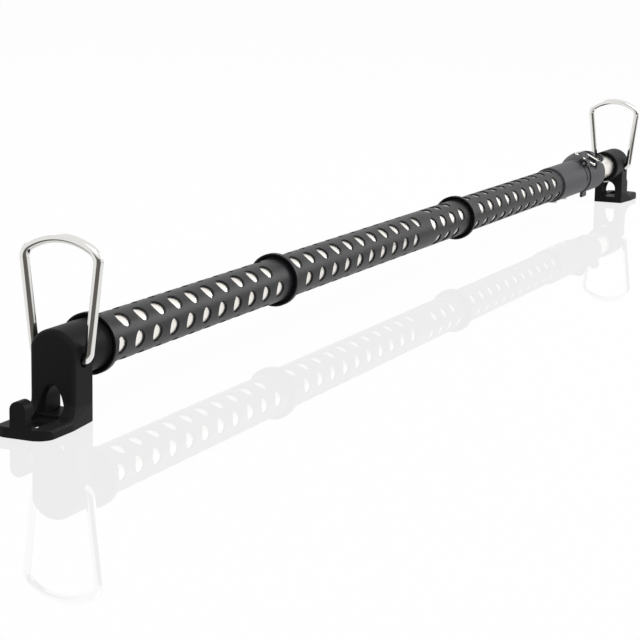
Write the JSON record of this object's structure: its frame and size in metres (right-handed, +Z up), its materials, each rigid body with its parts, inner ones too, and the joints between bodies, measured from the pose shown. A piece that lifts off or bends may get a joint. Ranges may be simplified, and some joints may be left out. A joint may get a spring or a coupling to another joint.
{
  "type": "telescoping garment bar",
  "caption": "Telescoping car garment bar: perforated grip sleeves on a steel tube, lever-locked inner tube, a hook foot and a folding wire bail at each end.",
  "frame": {"origin": "on the floor, half way between the two feet, under the bar's axis", "axes": "+X along the bar towards the end with the lever lock, +Z up, +Y away from the lever's side"},
  "size_m": [0.991, 0.0446, 0.0896],
  "materials": {
    "tube_steel": "bright drawn",
    "sleeve_plastic": "moulded satin",
    "fitting_plastic": "moulded satin",
    "lock_plastic": "moulded satin",
    "lever_plastic": "moulded satin",
    "bail_wire": "polished",
    "link_wire": "bright drawn",
    "liner_nylon": "moulded",
    "reducer_plastic": "moulded",
    "zinc_steel": "zinc plated"
  },
  "bodies": {
    "bar": {"outer_tube": "tube_steel", "near_sleeve": "sleeve_plastic", "middle_sleeve": "sleeve_plastic", "short_sleeve": "sleeve_plastic", "far_sleeve": "sleeve_plastic", "left_end_fitting": "fitting_plastic", "left_fitting_screw": "zinc_steel", "lock_collar": "lock_plastic", "clamp_liner": "liner_nylon", "collar_screws": "zinc_steel", "lever_pins": "zinc_steel"},
    "left_bail": {"left_bail": "bail_wire"},
    "lever": {"lock_lever": "lever_plastic"},
    "link": {"wire_link": "link_wire"},
    "guide": {"guide_bush": "liner_nylon"},
    "inner": {"inner_tube": "tube_steel", "tube_reducer": "reducer_plastic", "right_end_fitting": "fitting_plastic", "right_fitting_screw": "zinc_steel"},
    "right_bail": {"right_bail": "bail_wire"}
  },
  "joints": [
    {"name": "left_bail_hinge", "type": "hinge", "parent": "bar", "child": "left_bail", "pos_m": [-0.457, 0, 0.0306], "axis": [0, 1, 0], "range_deg": [-118, 71]},
    {"name": "telescope_slide", "type": "slide", "parent": "bar", "child": "guide", "axis": [1, 0, 0], "range_m": [-0.0435, 0.609]},
    {"name": "tube_swivel", "type": "hinge", "parent": "guide", "child": "inner", "pos_m": [0, 0, 0.033], "axis": [1, 0, 0], "continuous": true},
    {"name": "right_bail_hinge", "type": "hinge", "parent": "inner", "child": "right_bail", "pos_m": [0.457, 0, 0.0306], "axis": [0, -1, 0], "range_deg": [-118, 74]},
    {"name": "lever_pivot", "type": "hinge", "parent": "bar", "child": "lever", "pos_m": [0.367, -0.00936, 0.04498], "axis": [-1, 0, 0], "range_deg": [0, 100]},
    {"name": "link_pivot", "type": "hinge", "parent": "lever", "child": "link", "pos_m": [0.3675, -0.01289, 0.04264], "axis": [-1, 0, 0], "range_deg": [-100, 0]}
  ],
  "couplings": [
    {"joint": "link_pivot", "follows": "lever_pivot", "ratio": -1}
  ]
}
